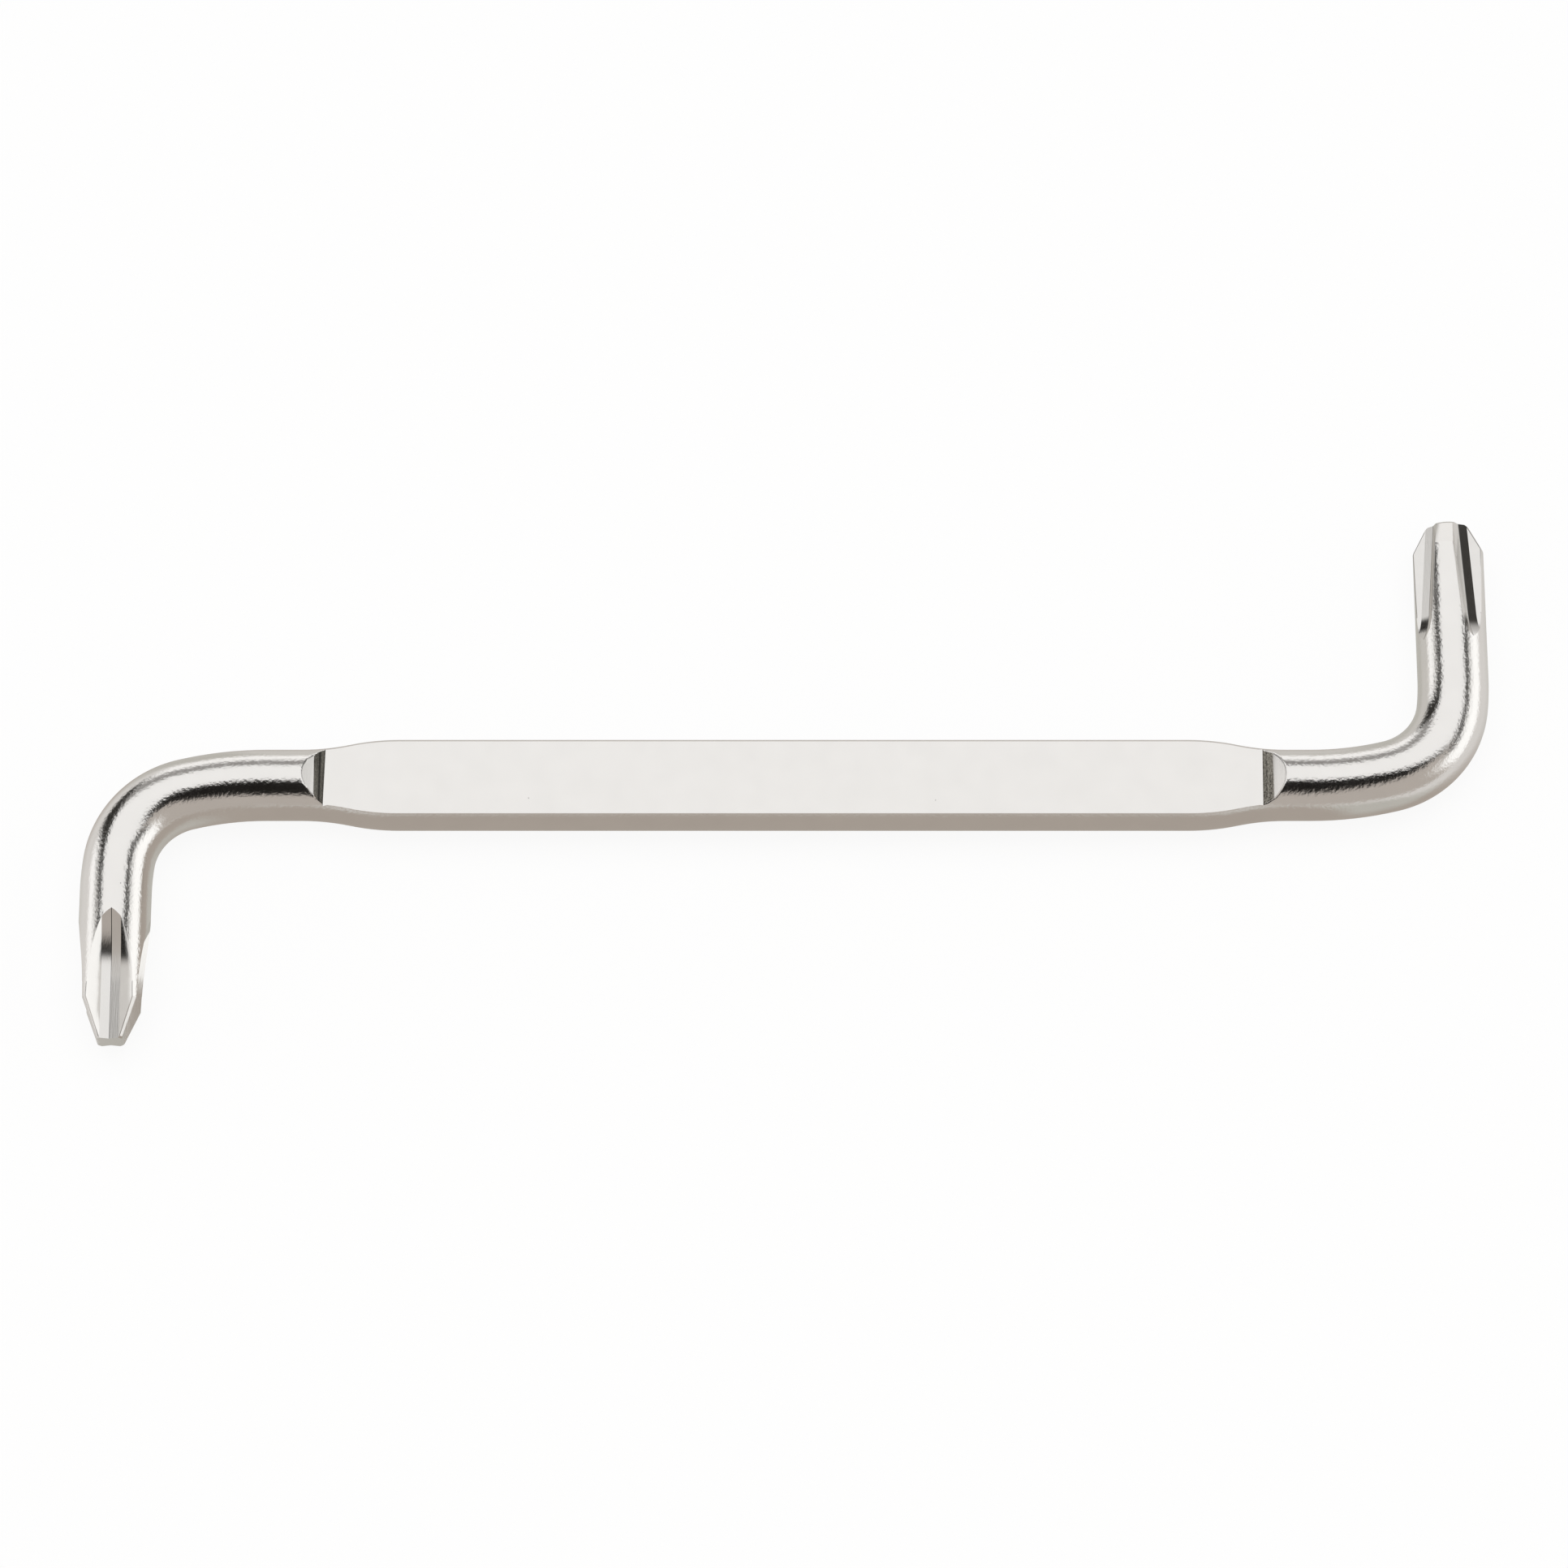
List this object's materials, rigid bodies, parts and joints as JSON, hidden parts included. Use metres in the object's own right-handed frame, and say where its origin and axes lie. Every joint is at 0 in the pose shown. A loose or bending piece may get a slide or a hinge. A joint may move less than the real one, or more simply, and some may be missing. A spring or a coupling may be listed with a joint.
{
  "type": "offset screwdriver",
  "caption": "Offset screwdriver: round steel bar pressed flat for a handle, its ends bent square in opposite directions and ground to a small and a large cross tip.",
  "frame": {"origin": "under the middle of the tool's outline, on the surface that it lies on", "axes": "+X along the handle towards the large tip, +Y the way the large tip points, +Z out of the upper flat"},
  "size_m": [0.1186, 0.0464, 0.006],
  "materials": {
    "satin_plate": "satin nickel-chrome plate over pressed chrome-vanadium steel, with fine lengthwise brush marks on the flats",
    "bright_plate": "bright nickel-chrome plate over drawn chrome-vanadium bar, with a fine plating grain",
    "ground_plate": "bright nickel-chrome plate over ground flutes"
  },
  "bodies": {
    "root": {"handle_bar": "satin_plate", "small_shoulder": "satin_plate", "large_shoulder": "satin_plate", "small_neck": "bright_plate", "small_elbow": "bright_plate", "small_blade": "bright_plate", "large_neck": "bright_plate", "large_elbow": "bright_plate", "large_blade": "bright_plate", "small_tip": "ground_plate", "large_tip": "ground_plate"}
  },
  "joints": []
}
